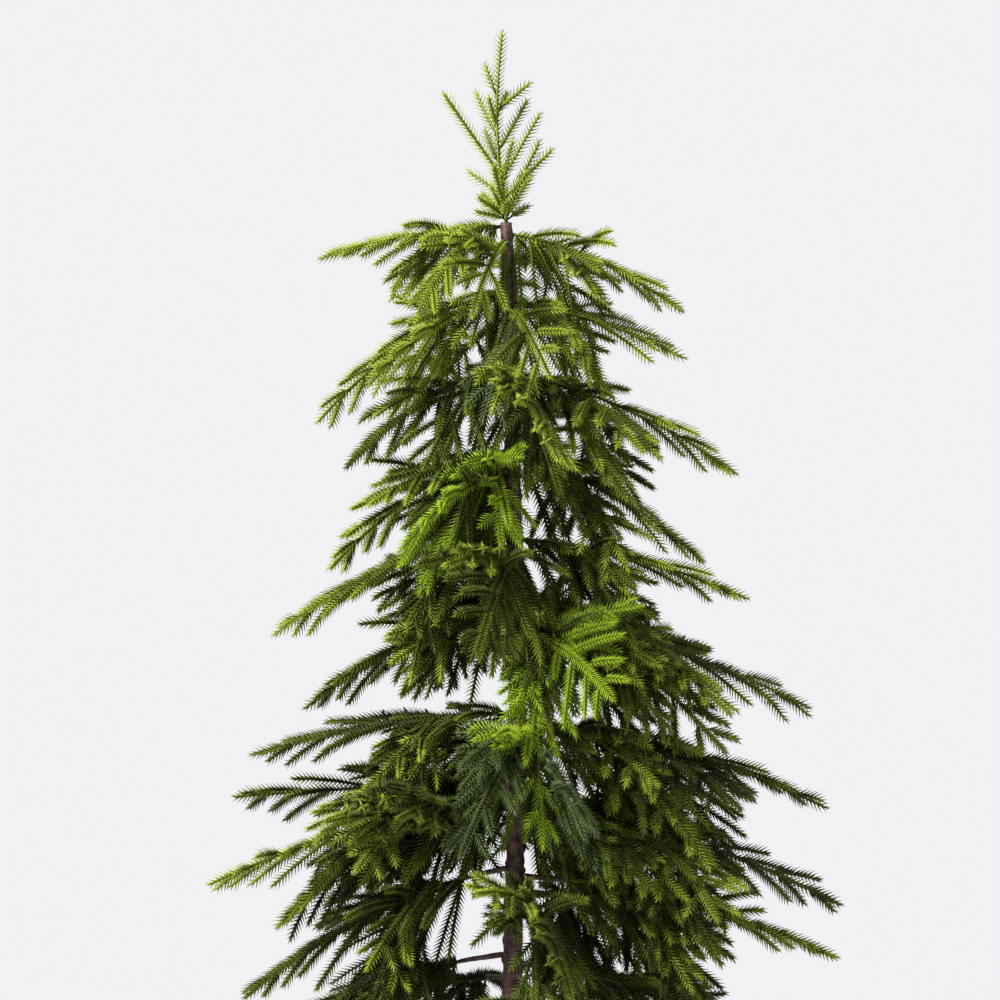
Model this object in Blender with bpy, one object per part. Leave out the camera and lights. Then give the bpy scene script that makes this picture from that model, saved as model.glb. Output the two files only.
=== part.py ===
"""Artificial Norfolk Island pine in a plain round pot, 2.13 m tall: moulded needle sprays on wired boughs.

Metres, +Z up. The origin is the middle of the pot's flat underside. +X is to the right and -Y is the front.
Compass angles turn from +X towards +Y, so 180 is left and 270 is the front.
"""

import math
import random

import bmesh
import bpy
from mathutils import Matrix, Vector
from mathutils.bvhtree import BVHTree

# Overall sizes
TREE_HEIGHT = 2.13
SEAT_GAP = 0.0003

# Pot and its filling
POT_HEIGHT = 0.235
POT_FOOT_RADIUS = 0.108
POT_RIM_RADIUS = 0.140
POT_WALL = 0.006
RIM_DEPTH = 0.026
RIM_PROUD = 0.006
FOOT_BEVEL = 0.005
POT_SIDES = 32
SOIL_TOP = 0.205
SOIL_DISH = 0.008
SOIL_FLAT_RADIUS = 0.045

# Trunk
TRUNK_FOOT = SOIL_TOP + SEAT_GAP
TRUNK_TOP = 1.838
TRUNK_FOOT_RADIUS = 0.0170
TRUNK_TOP_RADIUS = 0.0088
FLARE = 0.009
FLARE_HEIGHT = 0.035
BOW = 0.009
BOW_LEVEL = 0.66
BOW_HALF_WAVE = 0.91
TRUNK_STEPS = 26
TRUNK_RESOLUTION = 4

# Boughs: one row for each whorl, with its height on the trunk and then, for each bough,
# its name, compass angle in degrees, reach from the trunk's middle and the drop of its tip
WHORLS = (
    (1.814, (("left", 184, 0.285, 0.034), ("right", 356, 0.268, 0.114),
             ("front", 256, 0.205, 0.134), ("back", 84, 0.250, 0.110))),
    (1.712, (("left", 176, 0.290, 0.178), ("right", 6, 0.272, 0.080),
             ("front", 284, 0.215, 0.120), ("back", 116, 0.250, 0.110))),
    (1.602, (("left", 191, 0.255, 0.138), ("right", 357, 0.343, 0.145),
             ("front", 285, 0.265, 0.130), ("back", 72, 0.280, 0.130))),
    (1.477, (("left", 165, 0.295, 0.165), ("right", 14, 0.305, 0.152),
             ("front", 234, 0.285, 0.130), ("back", 120, 0.290, 0.120))),
    (1.357, (("left", 187, 0.365, 0.140), ("right", 357, 0.353, 0.085),
             ("front", 262, 0.325, 0.160), ("back", 128, 0.320, 0.140))),
    (1.237, (("left", 172, 0.330, 0.135), ("right", 4, 0.452, 0.133),
             ("front", 296, 0.345, 0.100), ("back", 42, 0.420, 0.060))),
    (1.085, (("left", 183, 0.403, 0.046), ("right", 2, 0.470, 0.128),
             ("front", 284, 0.370, 0.120), ("back", 122, 0.400, 0.120))),
    (0.972, (("left", 170, 0.446, 0.004), ("front_left", 207, 0.492, 0.105),
             ("right", 352, 0.490, 0.150), ("back", 66, 0.430, 0.110))),
    (0.852, (("left", 186, 0.410, 0.172), ("right", 4, 0.490, 0.120),
             ("front", 282, 0.420, 0.120), ("back", 52, 0.430, 0.145))),
    (0.722, (("left", 168, 0.450, 0.150), ("right", 350, 0.480, 0.150),
             ("front", 284, 0.440, 0.120), ("back", 118, 0.450, 0.130))),
    (0.592, (("left", 192, 0.460, 0.140), ("right", 12, 0.470, 0.140),
             ("front", 248, 0.450, 0.140), ("back", 62, 0.440, 0.140))),
)
BARE_FROM_WHORL = 9
STAGGER = 0.012
RISE_SHARE = 0.02
STEADY_DROP = 0.45
SWAY_SHARE = 0.05
BOUGH_ROOT_RADIUS = 0.0048
BOUGH_TIP_RADIUS = 0.0036
SQUARE_ROOT = 0.004
BARE_SHARE = 0.15
BOUGH_STEPS = 3

# Needle sprays: a three-sided core whose sides are drawn out into needles and, further, into side twigs
STEM_RADIUS = 0.0034
STEM_TIP_RADIUS = 0.0019
TIP_POINT = 0.022
NEEDLE = 0.017
NEEDLE_FORWARD = 1.0
ROOT_CLEAR = 0.016
UNIT_LENGTH = 0.27
UNIT_SHARE = 0.72
TWIG_FIRST = 0.070
TWIG_PITCH = 0.050
TWIG_OFFSET = 0.007
TWIG_ANGLE = 40
TWIG_SAG = 0.14
TWIG_SHORTEST = 0.062
TWIG_GROWTH = 0.50
TWIG_LONGEST = 0.130
TWIG_TILT = 0.22
SIDE_ROLL = 10
FACE_ROLL = 55
TWIG_TRIES = (1.0, 0.72, 0.5)
LATERAL_GAP = 0.022
LATERAL_PITCH = 0.0280
LATERAL_TRIES = 5
LATERAL_SHRINK = 0.88
LATERAL_TURNS = ((-1, 14), (1, 14), (-1, 62), (1, 24), (-1, 24), (1, 62))
LATERAL_ANGLE = 47
LATERAL_SAG = 0.24
LATERAL_LONGEST = 0.255
LATERAL_SHORTEST = 0.150
LATERAL_ROLL = 22
OPEN_BELOW = (6, 8)
OPEN_TURNS = ((-1, 6), (1, 6), (-1, 20), (1, 12), (-1, 12), (1, 20))
OPEN_SAG = 0.12
SPRAY_TILT = 40
STEM_STRETCH = 0.052
CLEARANCE = 0.0006

# Leader, the upright spray at the very top. Each row is a side twig's distance from the tip, side, angle and length
LEADER_LEAN = -0.011
LEADER_TIP_LEAN = -0.006
LEADER_TILT = 0.75
LEADER_ROWS = (
    (0.105, -1, 23, 0.060), (0.123, 1, 51, 0.070), (0.165, -1, 24, 0.084), (0.186, 1, 37, 0.102),
    (0.222, -1, 31, 0.156), (0.230, 1, 37, 0.122), (0.258, 1, 52, 0.112), (0.252, -1, 48, 0.070),
)

COLOURS = {
    "pot": ((0.035, 0.035, 0.037), 0.55),
    "soil": ((0.060, 0.042, 0.030), 0.95),
    "bark": ((0.110, 0.062, 0.050), 0.80),
    "wire": ((0.045, 0.055, 0.025), 0.70),
    "needles": ((0.060, 0.130, 0.030), 0.50),
}


def material(name):
    """The Principled material of one part."""
    made = bpy.data.materials.get(name)
    if made is None:
        colour, roughness = COLOURS[name]
        made = bpy.data.materials.new(name)
        made.use_nodes = True
        shader = made.node_tree.nodes["Principled BSDF"]
        shader.inputs["Base Color"].default_value = (*colour, 1.0)
        shader.inputs["Roughness"].default_value = roughness
        shader.inputs["Metallic"].default_value = 0.0
    return made


def new_object(name, data, finish):
    """An object of this mesh or curve, in the scene, with its finish."""
    data.materials.append(material(finish))
    made = bpy.data.objects.new(name, data)
    bpy.context.scene.collection.objects.link(made)
    return made


def jitter(name, spread):
    """A steady small departure, from -spread to spread, that belongs to this name."""
    return random.Random(name).uniform(-spread, spread)


def spun(name, profile, finish):
    """A closed turned solid: the profile (radius, height) runs from the axis round to the axis again."""
    bm = bmesh.new()
    points = [bm.verts.new((radius, 0.0, height)) for radius, height in profile]
    edges = [bm.edges.new(pair) for pair in zip(points, points[1:])]
    bmesh.ops.spin(bm, geom=points + edges, axis=(0, 0, 1), cent=(0, 0, 0), steps=POT_SIDES,
                   angle=math.tau, use_merge=True)
    bmesh.ops.remove_doubles(bm, verts=bm.verts, dist=1e-5)
    bmesh.ops.recalc_face_normals(bm, faces=bm.faces)
    mesh = bpy.data.meshes.new(name)
    bm.to_mesh(mesh)
    bm.free()
    mesh.shade_smooth()
    mesh.set_sharp_from_angle(angle=math.radians(35))
    return new_object(name, mesh, finish)


def wall_radius(height):
    """The outside of the pot's tapered wall at this height."""
    return POT_FOOT_RADIUS + (POT_RIM_RADIUS - POT_FOOT_RADIUS) * height / POT_HEIGHT


def build_pot():
    """A plain tapered pot with a thickened rim band and a flat floor."""
    band = POT_HEIGHT - RIM_DEPTH
    floor = POT_WALL
    profile = (
        (0.0, 0.0),
        (POT_FOOT_RADIUS - FOOT_BEVEL, 0.0),
        (POT_FOOT_RADIUS, FOOT_BEVEL),
        (wall_radius(band), band),
        (wall_radius(band) + RIM_PROUD, band + RIM_PROUD * 0.5),
        (POT_RIM_RADIUS + RIM_PROUD, POT_HEIGHT - RIM_PROUD * 0.5),
        (POT_RIM_RADIUS + RIM_PROUD * 0.4, POT_HEIGHT),
        (POT_RIM_RADIUS - POT_WALL * 0.5, POT_HEIGHT),
        (wall_radius(SOIL_TOP) - POT_WALL, SOIL_TOP),
        (wall_radius(floor) - POT_WALL, floor),
        (0.0, floor),
    )
    return spun("pot", profile, "pot")


def build_soil():
    """The filling: solid from the pot's floor up, flat under the trunk and dished a little towards the wall."""
    low = POT_WALL + SEAT_GAP
    edge = SOIL_TOP - SOIL_DISH
    inset = POT_WALL + 3 * SEAT_GAP
    profile = (
        (0.0, low),
        (wall_radius(low) - inset, low),
        (wall_radius(edge) - inset, edge),
        (SOIL_FLAT_RADIUS * 2, SOIL_TOP - SOIL_DISH * 0.4),
        (SOIL_FLAT_RADIUS, SOIL_TOP),
        (0.0, SOIL_TOP),
    )
    return spun("potting_soil", profile, "soil")


def trunk_middle(height):
    """The trunk's centre line, which bows gently from side to side."""
    wave = math.sin(math.pi * (height - BOW_LEVEL) / BOW_HALF_WAVE)
    foot_wave = math.sin(math.pi * (TRUNK_FOOT - BOW_LEVEL) / BOW_HALF_WAVE)
    bend = BOW * (wave - foot_wave)
    return Vector((bend, -0.4 * bend, height))


def trunk_radius(height):
    """Taper from foot to top, with a short root flare."""
    share = (height - TRUNK_FOOT) / (TRUNK_TOP - TRUNK_FOOT)
    taper = TRUNK_FOOT_RADIUS + (TRUNK_TOP_RADIUS - TRUNK_FOOT_RADIUS) * share
    return taper + FLARE * max(0.0, 1.0 - (height - TRUNK_FOOT) / FLARE_HEIGHT) ** 2


def tube(name, points, radii, resolution, finish):
    """A round tapered limb along these points, closed at both ends."""
    curve = bpy.data.curves.new(name, "CURVE")
    curve.dimensions = "3D"
    curve.bevel_depth = 1.0
    curve.bevel_resolution = resolution
    curve.use_fill_caps = True
    spline = curve.splines.new("POLY")
    spline.points.add(len(points) - 1)
    for place, point, radius in zip(spline.points, points, radii):
        place.co = (*point, 1.0)
        place.radius = radius
    return new_object(name, curve, finish)


def build_trunk():
    """The trunk, from its flat cut on the soil to its blunt top."""
    flare_top = TRUNK_FOOT + FLARE_HEIGHT
    heights = [TRUNK_FOOT, TRUNK_FOOT + FLARE_HEIGHT * 0.3, TRUNK_FOOT + FLARE_HEIGHT * 0.6]
    heights += [flare_top + (TRUNK_TOP - flare_top) * step / TRUNK_STEPS for step in range(TRUNK_STEPS + 1)]
    points = [trunk_middle(height) for height in heights]
    points[1].xy = points[0].xy
    return tube("trunk", points, [trunk_radius(height) for height in heights], TRUNK_RESOLUTION, "bark")


class Bough:
    """One bough's line: out of the trunk, up a little, then over and down to its tip."""

    def __init__(self, whorl, order, height, side, compass, reach, drop):
        self.name = f"{whorl:02d}_{side}"
        self.whorl = whorl
        self.height = height + STAGGER * (1.5 - order)
        turn = math.radians(compass)
        self.out = Vector((math.cos(turn), math.sin(turn), 0.0))
        self.across = Vector((-self.out.y, self.out.x, 0.0))
        self.reach = reach
        self.drop = drop + STAGGER * (1.5 - order)
        # Sprays lie nearly flat at the sides and roll over towards front and back, the other way at each whorl
        self.roll = math.radians(SIDE_ROLL + (FACE_ROLL - SIDE_ROLL) * abs(self.out.y)) * (-1) ** whorl
        self.sway = jitter(self.name, SWAY_SHARE) * reach
        self.middle = trunk_middle(self.height)
        self.skin = trunk_radius(self.height) + SEAT_GAP

    def at(self, share):
        """The point at this share of the reach. Share 0 is the trunk's skin."""
        run = self.skin + (self.reach - self.skin) * share
        lift = 2.0 * RISE_SHARE * self.reach * share * (1.0 - share)
        lift -= self.drop * share * (STEADY_DROP + (1.0 - STEADY_DROP) * share)
        return self.middle + self.out * run + self.across * (self.sway * share * share) + Vector((0, 0, lift))

    def path(self, first, last, steps):
        """Points along the bough from one share of the reach to another, square to the trunk where they leave it."""
        points = [self.at(first + (last - first) * step / steps) for step in range(steps + 1)]
        if first == 0.0:
            points.insert(1, points[0] + self.out * SQUARE_ROOT)
        return points


def square_to(vector, way):
    """The part of a vector that lies square to this direction, at length one."""
    return (vector - way * vector.dot(way)).normalized()


def leaning(way, side, angle):
    """The direction that leaves this way by an angle in degrees, towards one side."""
    turn = math.radians(angle)
    return way * math.cos(turn) + square_to(side, way) * math.sin(turn)


def sagging(start, way, length, sag, steps):
    """Points of a spray that sets out one way and sinks under its own weight."""
    shares = [step / steps for step in range(steps + 1)]
    return [start + way * (length * s) - Vector((0, 0, sag * length * s * s)) for s in shares]


def line_length(points):
    """The whole length of the line."""
    return sum((head - tail).length for tail, head in zip(points, points[1:]))


def back_from_tip(points, distance):
    """The point at this distance back from the line's end, and the line's heading there."""
    for tail, head in zip(reversed(points[:-1]), reversed(points[1:])):
        stretch = (head - tail).length
        way = (head - tail) / stretch
        if distance <= stretch:
            return head - way * distance, way
        distance -= stretch
    return tail, way


def twig_rows(name, length):
    """Side twigs in near pairs down a spray: distance from its tip, side, angle and length."""
    rows = []
    distance = TWIG_FIRST
    while distance < length - ROOT_CLEAR * 1.2:
        for side in (-1, 1):
            key = f"{name} {round(distance * 1000)} {side}"
            reach = min(TWIG_LONGEST, TWIG_SHORTEST + TWIG_GROWTH * (distance - TWIG_FIRST))
            reach *= 1.0 + jitter(key + " length", 0.12)
            rows.append((distance + side * TWIG_OFFSET, side, TWIG_ANGLE + jitter(key + " angle", 7), reach))
        distance += TWIG_PITCH
    return rows


class Space:
    """What already stands in the crown, so that every new spray keeps clear of what isn't its own."""

    def __init__(self):
        self.taken = []

    def claim(self, key, vertices, faces):
        """Keeps this surface under its key."""
        self.taken.append((key, BVHTree.FromPolygons(vertices, faces), *extent(vertices)))

    def free(self, vertices, faces, own=(), only=None):
        """True if the shape stays clear of everything whose key isn't its own, or of one key only."""
        tree = BVHTree.FromPolygons(vertices, faces)
        low, high = extent(vertices)
        for key, other, other_low, other_high in self.taken:
            if key in own or (only and key != only):
                continue
            if any(low[axis] > other_high[axis] + CLEARANCE or other_low[axis] > high[axis] + CLEARANCE
                   for axis in range(3)):
                continue
            if tree.overlap(other):
                return False
            if any(other.find_nearest(place, CLEARANCE)[0] is not None for place in vertices):
                return False
        return True

    def claim_object(self, made):
        """Keeps the surface of a finished object, as its modifiers leave it."""
        graph = bpy.context.evaluated_depsgraph_get()
        mesh = made.evaluated_get(graph).to_mesh()
        faces = [tuple(face.vertices) for face in mesh.polygons]
        self.claim(made.name, [made.matrix_world @ vertex.co for vertex in mesh.vertices], faces)
        made.evaluated_get(graph).to_mesh_clear()


def extent(vertices):
    """The lowest and the highest corner of the box round these points."""
    return (Vector(min(v[axis] for v in vertices) for axis in range(3)),
            Vector(max(v[axis] for v in vertices) for axis in range(3)))


class Spray:
    """One spray: its line, the side it spreads to, and the side twigs that there is room for."""

    def __init__(self, name, key, points, across, rows, sag=TWIG_SAG, tilt=TWIG_TILT):
        self.name = name
        self.key = key
        self.points = points
        self.across = across
        self.sag = sag
        self.tilt = tilt
        self.length = line_length(points)
        self.upright = 1.0 if self.across.cross(points[-1] - points[0]).z >= 0.0 else -1.0
        self.rows = sorted(rows)
        self.stations = self.place_stations()
        self.teeth = {}

    def place_stations(self):
        """Distances from the tip where the core has a ring, with one stretch for each near pair of side twigs."""
        groups = []
        for row in self.rows:
            if groups and row[1] not in [other[1] for other in groups[-1]] and row[0] - groups[-1][0][0] < 0.016:
                groups[-1].append(row)
            else:
                groups.append([row])
        self.groups = groups
        middles = [sum(row[0] for row in group) / len(group) for group in groups]
        stations = [TIP_POINT]
        if middles:
            stations.append(middles[0] - TWIG_PITCH * 0.5)
            stations += [(lower + upper) / 2 for lower, upper in zip(middles, middles[1:])]
            stations.append(min(middles[-1] + TWIG_PITCH * 0.5, self.length - ROOT_CLEAR * 0.8))
        while self.length - stations[-1] > STEM_STRETCH * 1.3:
            stations.append(stations[-1] + STEM_STRETCH)
        if self.length - ROOT_CLEAR - stations[-1] > 0.012:
            stations.append(self.length - ROOT_CLEAR)
        stations.append(self.length)
        return stations

    def ring(self, distance):
        """The core's ring of three corners at this distance from the tip."""
        point, way = back_from_tip(self.points, distance)
        normal = square_to(self.across.cross(way) * self.upright, way)
        side = normal.cross(way)
        turn = Matrix((side, normal, way)).transposed()
        share = distance / self.length
        radius = STEM_TIP_RADIUS + (STEM_RADIUS - STEM_TIP_RADIUS) * share
        return Matrix.Translation(point) @ turn.to_4x4(), radius

    def twig(self, row):
        """Root, heading and tip of one side twig."""
        distance, side, angle, reach = row
        start, way = back_from_tip(self.points, distance)
        tilt = jitter(f"{self.name} {round(distance * 1000)} {side} tilt", self.tilt)
        heading = leaning(way, self.across * side + way.cross(self.across) * tilt, angle)
        return start, heading, start + heading * reach - Vector((0, 0, self.sag * reach))

    def tooth(self, group, side, share):
        """The corners of the wedge that one side twig is drawn out into, or None where there is none."""
        found = [row for row in self.groups[group] if row[1] == side]
        if not found:
            return None
        tip = self.twig((*found[0][:3], found[0][3] * share))[2]
        outer, outer_radius = self.ring(self.stations[group + 1])
        inner, inner_radius = self.ring(self.stations[group + 2])
        ends = []
        for matrix, radius in ((outer, outer_radius), (inner, inner_radius)):
            ends.append(matrix @ Vector((0, radius, 0)))
            across = matrix.to_3x3() @ Vector((1, 0, 0))
            sign = 1.0 if across.dot(self.across) * side > 0 else -1.0
            ends.append(matrix @ Vector((sign * radius * 0.866, -radius * 0.5, 0)))
        return [*ends, tip]

    def mesh(self):
        """The core, with every side of every stretch drawn out, but for the bare stretch at the root."""
        bm = bmesh.new()
        rings = []
        last = len(self.stations) - 1
        caps = {}
        for index, distance in enumerate(self.stations):
            matrix, radius = self.ring(distance)
            made = bmesh.ops.create_circle(bm, cap_ends=index in (0, last), segments=3, radius=radius, matrix=matrix)
            rings.append(list({edge for vertex in made["verts"] for edge in vertex.link_edges}))
            if index in (0, last):
                caps[index] = made["verts"][0].link_faces[0]
        for index, (outer, inner) in enumerate(zip(rings, rings[1:])):
            sides = bmesh.ops.bridge_loops(bm, edges=outer + inner)["faces"]
            if index == last - 1:
                continue
            middle, way = back_from_tip(self.points, (self.stations[index] + self.stations[index + 1]) / 2)
            for corner in bmesh.ops.poke(bm, faces=sides)["verts"]:
                away = square_to(corner.co - middle, way)
                below = away.dot(self.ring(self.stations[index])[0].to_3x3() @ Vector((0, 1, 0))) < -0.6
                side = 0 if below else (1 if away.dot(self.across) > 0 else -1)
                tip = self.teeth.get((index - 1, side))
                corner.co = tip if tip else corner.co + (away + way * NEEDLE_FORWARD).normalized() * NEEDLE
        tip = bmesh.ops.poke(bm, faces=[caps[0]])["verts"][0]
        tip.co = self.points[-1]
        bmesh.ops.recalc_face_normals(bm, faces=bm.faces)
        mesh = bpy.data.meshes.new(self.key)
        bm.to_mesh(mesh)
        bm.free()
        return mesh

    def surface(self):
        """Corners and faces of the finished mesh, for the test of clearance."""
        mesh = self.mesh()
        found = [vertex.co.copy() for vertex in mesh.vertices], [tuple(face.vertices) for face in mesh.polygons]
        bpy.data.meshes.remove(mesh)
        return found


WEDGE_FACES = ((0, 1, 3, 2), (0, 2, 4), (2, 3, 4), (3, 1, 4), (1, 0, 4))


class Mass:
    """The foliage on one stem: its end spray, and side sprays further in."""

    def __init__(self, name, space, points, across, rows, end_length, sag=TWIG_SAG, tilt=TWIG_TILT):
        self.name = name
        self.space = space
        self.turns = LATERAL_TURNS
        self.lateral_sag = LATERAL_SAG
        self.stem = Spray(name, name + ".0", points, across, rows, sag, tilt)
        self.across = across
        self.end_length = end_length
        self.sprays = [self.stem]
        space.claim(self.stem.key, *self.stem.surface())

    def open_twigs(self, spray):
        """Draws out each side twig of a spray as far as the rest of the crown leaves room for it."""
        ribs = spray.key + " ribs"
        for group in range(len(spray.groups)):
            for side in (-1, 1):
                for share in TWIG_TRIES:
                    wedge = spray.tooth(group, side, share)
                    if wedge is None:
                        break
                    middle = sum(wedge[:4], Vector()) / 4
                    rib = [middle.lerp(corner, 0.4) for corner in wedge[:4]] + [wedge[4]]
                    if self.space.free(rib, WEDGE_FACES, only=ribs) and \
                            self.space.free(wedge, WEDGE_FACES, (spray.key, ribs)):
                        spray.teeth[group, side] = wedge[4]
                        self.space.claim(spray.key, wedge, WEDGE_FACES)
                        self.space.claim(ribs, rib, WEDGE_FACES)
                        break

    def grow_laterals(self):
        """Side sprays on the inner part of a long stem."""
        distance = self.end_length + LATERAL_GAP
        number = 0
        while distance < self.stem.length - ROOT_CLEAR * 1.5:
            start, way = back_from_tip(self.stem.points, distance)
            for attempt in range(LATERAL_TRIES):
                spray = self.lateral(number, start, way, distance, attempt)
                vertices, faces = spray.surface()
                if self.space.free(vertices, faces, (self.stem.key, spray.key)):
                    self.space.claim(spray.key, vertices, faces)
                    self.sprays.append(spray)
                    break
            number += 1
            distance += LATERAL_PITCH

    def lateral(self, number, start, way, distance, attempt):
        """One side spray. Each further attempt is shorter and turned another way round the stem."""
        name = f"{self.name} lateral {number} {attempt}"
        side, dip = self.turns[(number + attempt * 2) % len(self.turns)]
        roll = math.radians(jitter(name + " roll", LATERAL_ROLL) - dip)
        spread = self.across * (side * math.cos(roll)) + Vector((0, 0, math.sin(roll)))
        heading = leaning(way, spread, LATERAL_ANGLE + jitter(name + " angle", 9))
        length = max(LATERAL_SHORTEST, min(LATERAL_LONGEST, 0.72 * distance))
        length *= (1.0 + jitter(name + " length", 0.10)) * LATERAL_SHRINK ** attempt
        points = sagging(start, heading, length, self.lateral_sag, 4)
        flat = square_to(heading.cross(Vector((0, 0, 1))), heading)
        tilt = math.radians(jitter(name + " tilt", SPRAY_TILT))
        across = flat * math.cos(tilt) + square_to(Vector((0, 0, 1)), heading) * math.sin(tilt)
        return Spray(name, f"{self.name}.{number + 1}", points, across, twig_rows(name, length))

    def fuse(self):
        """Joins the stem and its side sprays into one solid."""
        stem = new_object(self.name, self.stem.mesh(), "needles")
        if len(self.sprays) == 1:
            return stem
        others = bpy.data.collections.new(self.name + " sprays")
        bpy.context.scene.collection.children.link(others)
        for spray in self.sprays[1:]:
            others.objects.link(bpy.data.objects.new(spray.key, spray.mesh()))
        join = stem.modifiers.new("Join", "BOOLEAN")
        join.operation = "UNION"
        join.operand_type = "COLLECTION"
        join.collection = others
        join.solver = "EXACT"
        graph = bpy.context.evaluated_depsgraph_get()
        fused = bpy.data.meshes.new_from_object(stem.evaluated_get(graph))
        stem.modifiers.clear()
        stem.data = fused
        for other in list(others.objects):
            bpy.data.objects.remove(other)
        bpy.data.collections.remove(others)
        return stem


def build_leader(space):
    """The upright spray that carries the trunk on to its tip."""
    foot = trunk_middle(TRUNK_TOP) + Vector((0, 0, SEAT_GAP))
    length = TREE_HEIGHT - foot.z
    steps = 8
    points = []
    for step in range(steps + 1):
        share = step / steps
        lean = LEADER_LEAN * math.sin(math.pi * share) + LEADER_TIP_LEAN * share
        points.append(foot + Vector((lean, 0, length * share)))
    return Mass("foliage_leader", space, points, Vector((1, 0, 0)), LEADER_ROWS, length, 0.0, LEADER_TILT)


def build_boughs():
    """Every bough of every whorl, from the top down."""
    return [
        Bough(whorl, order, height, *row)
        for whorl, (height, rows) in enumerate(WHORLS, start=1)
        for order, row in enumerate(rows)
    ]


def build_crown(solids):
    """Boughs first, then every stem, then the side sprays and twigs, each only where there is room."""
    space = Space()
    boughs = build_boughs()
    for bough in boughs:
        if bough.whorl >= BARE_FROM_WHORL:
            points = bough.path(0.0, BARE_SHARE, BOUGH_STEPS)
            last = len(points) - 1
            radii = [BOUGH_ROOT_RADIUS + (BOUGH_TIP_RADIUS - BOUGH_ROOT_RADIUS) * i / last for i in range(last + 1)]
            solids.append(tube("bough_" + bough.name, points, radii, 1, "wire"))
    bpy.context.view_layer.update()
    for made in solids:
        space.claim_object(made)
    masses = [build_leader(space)]
    for bough in boughs:
        begin = BARE_SHARE + SEAT_GAP / bough.reach if bough.whorl >= BARE_FROM_WHORL else 0.0
        points = bough.path(begin, 1.0, 10)
        length = line_length(points)
        end_length = min(UNIT_LENGTH, UNIT_SHARE * length)
        name = "foliage_" + bough.name
        across = bough.across * math.cos(bough.roll) + Vector((0, 0, math.sin(bough.roll)))
        mass = Mass(name, space, points, across, twig_rows(name, end_length), end_length)
        if bough.whorl in OPEN_BELOW:
            mass.turns = OPEN_TURNS
            mass.lateral_sag = OPEN_SAG
        masses.append(mass)
    for mass in masses[1:]:
        mass.grow_laterals()
    for mass in masses:
        mass.open_twigs(mass.stem)
    for mass in masses:
        for spray in mass.sprays[1:]:
            mass.open_twigs(spray)
    for mass in masses:
        mass.fuse()


def main():
    """Clears the scene and builds the pot, its filling, the trunk and the crown."""
    for old in list(bpy.data.objects):
        bpy.data.objects.remove(old)
    solids = [build_pot(), build_soil(), build_trunk()]
    build_crown(solids)


main()
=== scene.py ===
"""Looks of the potted artificial pine: bark, needled twigs, pot, filling, light and camera."""

import math
import random

import bmesh
import bpy
import numpy as np
from mathutils import Matrix, Vector, noise
from mathutils.kdtree import KDTree


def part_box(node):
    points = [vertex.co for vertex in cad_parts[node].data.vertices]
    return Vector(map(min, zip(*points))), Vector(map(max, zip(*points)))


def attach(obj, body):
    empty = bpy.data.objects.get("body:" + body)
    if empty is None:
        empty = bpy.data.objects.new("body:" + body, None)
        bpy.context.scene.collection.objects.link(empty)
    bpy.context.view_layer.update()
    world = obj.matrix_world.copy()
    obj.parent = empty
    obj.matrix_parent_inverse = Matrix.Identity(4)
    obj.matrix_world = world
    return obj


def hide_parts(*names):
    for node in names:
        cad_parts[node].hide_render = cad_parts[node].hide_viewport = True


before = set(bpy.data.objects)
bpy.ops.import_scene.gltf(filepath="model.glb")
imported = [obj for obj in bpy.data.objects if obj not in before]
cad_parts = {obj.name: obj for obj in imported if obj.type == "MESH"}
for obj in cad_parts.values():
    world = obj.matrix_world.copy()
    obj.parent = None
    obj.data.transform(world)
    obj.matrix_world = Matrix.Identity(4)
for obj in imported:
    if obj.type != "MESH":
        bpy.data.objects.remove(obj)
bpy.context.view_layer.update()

BODY = "root"

# Pot and filling, as in the part
TREE_HEIGHT = 2.13
SEAT_GAP = 0.0003
POT_HEIGHT = 0.235
POT_FOOT_RADIUS = 0.108
POT_RIM_RADIUS = 0.140
POT_WALL = 0.006
RIM_DEPTH = 0.026
RIM_PROUD = 0.006
POT_STEPS = 128
SOIL_TOP = 0.205
SOIL_DISH = 0.008
CHIP_COUNT = 420

# Trunk, as in the part
TRUNK_FOOT = SOIL_TOP + SEAT_GAP
TRUNK_TOP = 1.838
TRUNK_FOOT_RADIUS = 0.0170
TRUNK_TOP_RADIUS = 0.0088
FLARE = 0.009
FLARE_HEIGHT = 0.035
BOW = 0.009
BOW_LEVEL = 0.66
BOW_HALF_WAVE = 0.91
TRUNK_SIDES = 40
TRUNK_RINGS = 420

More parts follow.
